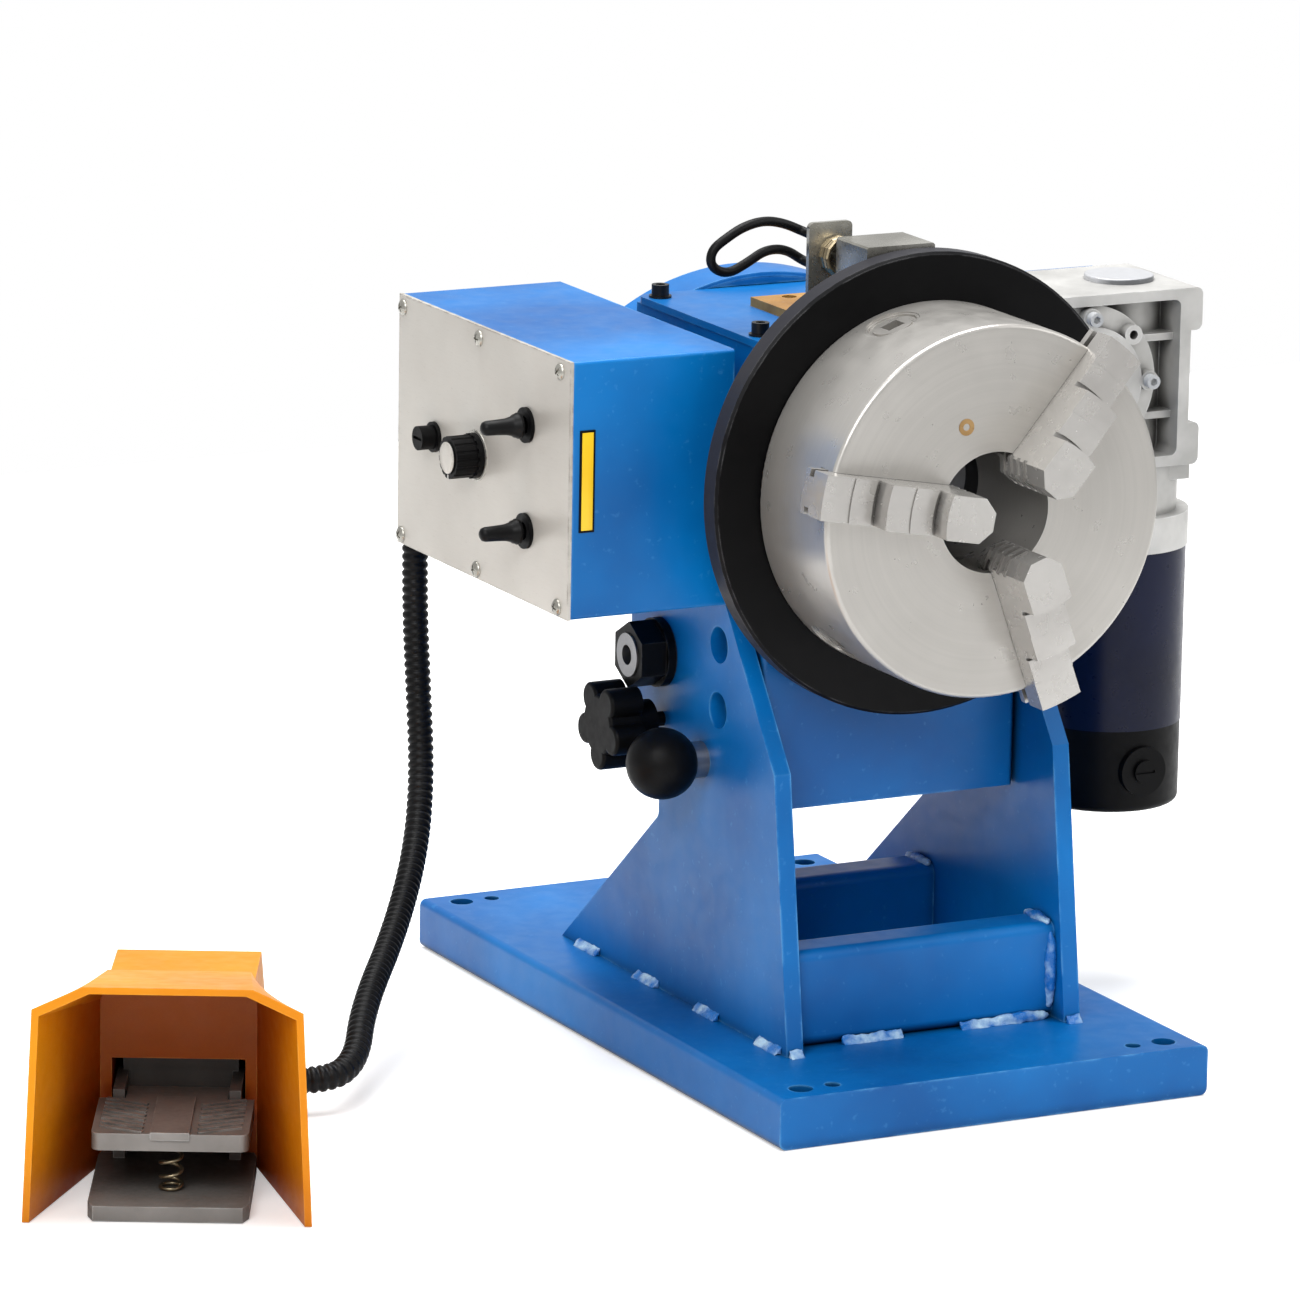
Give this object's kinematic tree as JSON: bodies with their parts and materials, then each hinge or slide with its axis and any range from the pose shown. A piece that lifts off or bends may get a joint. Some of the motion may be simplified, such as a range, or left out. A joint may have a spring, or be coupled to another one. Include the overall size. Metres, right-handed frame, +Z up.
{
  "type": "welding positioner",
  "caption": "Bench welding positioner: a motor turns a self-centring chuck on a tilting head; control box and foot pedal set speed and direction.",
  "frame": {"origin": "middle of the base plate's underside", "axes": "+X along the tilt axis to the right seen from the chuck, +Y to the back (the chuck faces -Y), +Z up"},
  "size_m": [0.7808, 0.4604, 0.4641],
  "materials": {
    "blue_paint": "semi-gloss enamel",
    "dark_blue_paint": "semi-gloss enamel",
    "navy_paint": "semi-gloss enamel",
    "black_plastic": "moulded",
    "black_oxide": "black oxide",
    "ground_steel": "ground",
    "machined_steel": "turned",
    "cast_aluminium": "die cast",
    "panel_aluminium": "fine brushed",
    "zinc_plate": "zinc plated",
    "spring_steel": "drawn wire",
    "copper": "tarnished copper",
    "rubber": "corrugated or smooth rubber",
    "orange_plastic": "moulded",
    "grey_casting": "satin grey enamel",
    "board_green": "laminate"
  },
  "bodies": {
    "frame": {"base_plate": "blue_paint", "left_upright": "blue_paint", "right_upright": "blue_paint", "cross_tubes": "blue_paint", "weld_beads": "blue_paint", "pedal_guard": "orange_plastic", "pedal_shell": "orange_plastic", "pedal_base": "grey_casting", "pedal_spring": "spring_steel", "pedal_gland": "zinc_plate", "hose": "rubber"},
    "clamp": {"star_knob": "black_plastic"},
    "index": {"index_pin": "machined_steel", "index_ball": "black_plastic"},
    "treadle": {"treadle": "grey_casting"},
    "spindle": {"spindle": "machined_steel", "spindle_gear": "machined_steel", "faceplate": "black_oxide", "chuck_body": "ground_steel", "chuck_back": "ground_steel"},
    "idler": {"idler_gear": "machined_steel"},
    "output": {"output_shaft": "machined_steel"},
    "worm": {"worm_and_rotor": "machined_steel"},
    "scroll": {"scroll": "ground_steel"},
    "jaw_1": {"jaw_1": "ground_steel"},
    "jaw_2": {"jaw_2": "ground_steel"},
    "jaw_3": {"jaw_3": "ground_steel"},
    "pinion_1": {"pinion_1": "ground_steel"},
    "pinion_2": {"pinion_2": "ground_steel"},
    "pinion_3": {"pinion_3": "ground_steel"},
    "pedal_switch": {"pedal_switch_lever": "black_plastic"},
    "direction_switch": {"direction_lever": "black_plastic"},
    "speed_knob": {"speed_knob": "black_plastic"},
    "fuse_cap": {"fuse_cap": "black_plastic"},
    "head": {"head_housing": "blue_paint", "gear_guard": "blue_paint", "control_box": "blue_paint", "box_mount": "blue_paint", "head_lid": "dark_blue_paint", "gear_plate": "dark_blue_paint", "motor_body": "navy_paint", "motor_cap": "black_plastic", "panel_controls": "black_plastic", "box_gland": "black_plastic", "pivot_nuts": "black_oxide", "socket_screws": "black_oxide", "spindle_bearings": "machined_steel", "pivot_pins": "machined_steel", "gearbox": "cast_aluminium", "gearbox_cover": "cast_aluminium", "worm_cap": "cast_aluminium", "motor_flange": "cast_aluminium", "control_panel": "panel_aluminium", "panel_screws": "zinc_plate", "brush_bracket": "zinc_plate", "brush_holder": "zinc_plate", "brush_spring": "spring_steel", "copper_bar": "copper", "brush_lead": "rubber", "circuit_board": "board_green"}
  },
  "joints": [
    {"name": "head_tilt", "type": "hinge", "parent": "frame", "child": "head", "pos_m": [0, 0.0023, 0.217], "axis": [-1, 0, 0], "range_deg": [0, 90], "deforming": ["hose"]},
    {"name": "spindle_spin", "type": "hinge", "parent": "head", "child": "spindle", "pos_m": [0, 0, 0.3276], "axis": [0, 1, 0], "continuous": true},
    {"name": "idler_spin", "type": "hinge", "parent": "head", "child": "idler", "pos_m": [0.09695, 0, 0.34161], "axis": [0, 1, 0], "continuous": true},
    {"name": "output_spin", "type": "hinge", "parent": "head", "child": "output", "pos_m": [0.1585, 0, 0.3505], "axis": [0, 1, 0], "continuous": true},
    {"name": "worm_spin", "type": "hinge", "parent": "head", "child": "worm", "pos_m": [0.1985, 0.015, 0], "axis": [0, 0, 1], "continuous": true},
    {"name": "scroll_turn", "type": "hinge", "parent": "spindle", "child": "scroll", "pos_m": [0, 0, 0.3276], "axis": [0, 1, 0], "range_deg": [0, 1620]},
    {"name": "jaw_1_slide", "type": "slide", "parent": "spindle", "child": "jaw_1", "axis": [-0.9848, 0, 0.1736], "range_m": [0, 0.0361]},
    {"name": "jaw_2_slide", "type": "slide", "parent": "spindle", "child": "jaw_2", "axis": [0.6428, 0, 0.766], "range_m": [0, 0.0361]},
    {"name": "jaw_3_slide", "type": "slide", "parent": "spindle", "child": "jaw_3", "axis": [0.342, 0, -0.9397], "range_m": [0, 0.0361]},
    {"name": "pinion_1_turn", "type": "hinge", "parent": "spindle", "child": "pinion_1", "pos_m": [0, -0.1465, 0.3276], "axis": [-0.342, 0, 0.9397], "range_deg": [0, 8100]},
    {"name": "pinion_2_turn", "type": "hinge", "parent": "spindle", "child": "pinion_2", "pos_m": [0, -0.1465, 0.3276], "axis": [0.9848, 0, -0.1736], "range_deg": [0, 8100]},
    {"name": "pinion_3_turn", "type": "hinge", "parent": "spindle", "child": "pinion_3", "pos_m": [0, -0.1465, 0.3276], "axis": [-0.6428, 0, -0.766], "range_deg": [0, 8100]},
    {"name": "index_slide", "type": "slide", "parent": "frame", "child": "index", "axis": [1, 0, 0], "range_m": [0, 0.0075]},
    {"name": "clamp_turn", "type": "hinge", "parent": "frame", "child": "clamp", "pos_m": [-0.098, 0, 0.18], "axis": [1, 0, 0], "range_deg": [0, 270]},
    {"name": "treadle_press", "type": "hinge", "parent": "frame", "child": "treadle", "pos_m": [-0.4286, -0.1179, 0.033], "axis": [0.891, -0.454, 0], "range_deg": [0, 6], "stiffness_Nm_per_rad": 1.5, "springref_deg": -14.32, "deforming": ["pedal_spring"]},
    {"name": "pedal_switch_throw", "type": "hinge", "parent": "head", "child": "pedal_switch", "pos_m": [-0.188, -0.0312, 0.357], "axis": [0, 1, 0], "range_deg": [-12, 12]},
    {"name": "direction_switch_throw", "type": "hinge", "parent": "head", "child": "direction_switch", "pos_m": [-0.188, -0.0312, 0.2995], "axis": [0, 1, 0], "range_deg": [-12, 12]},
    {"name": "speed_knob_turn", "type": "hinge", "parent": "head", "child": "speed_knob", "pos_m": [-0.19, 0.0304, 0.3285], "axis": [1, 0, 0], "range_deg": [-135, 135]},
    {"name": "fuse_cap_turn", "type": "hinge", "parent": "head", "child": "fuse_cap", "pos_m": [-0.19, 0.0815, 0.3288], "axis": [1, 0, 0], "range_deg": [0, 90]}
  ],
  "couplings": [
    {"joint": "idler_spin", "follows": "spindle_spin", "ratio": -2.3158},
    {"joint": "output_spin", "follows": "spindle_spin", "ratio": 2.0952},
    {"joint": "worm_spin", "follows": "spindle_spin", "ratio": 104.76},
    {"joint": "jaw_1_slide", "follows": "scroll_turn", "m_per_rad": 0.0012732},
    {"joint": "pinion_1_turn", "follows": "scroll_turn", "ratio": 5},
    {"joint": "jaw_2_slide", "follows": "scroll_turn", "m_per_rad": 0.0012732},
    {"joint": "pinion_2_turn", "follows": "scroll_turn", "ratio": 5},
    {"joint": "jaw_3_slide", "follows": "scroll_turn", "m_per_rad": 0.0012732},
    {"joint": "pinion_3_turn", "follows": "scroll_turn", "ratio": 5}
  ]
}
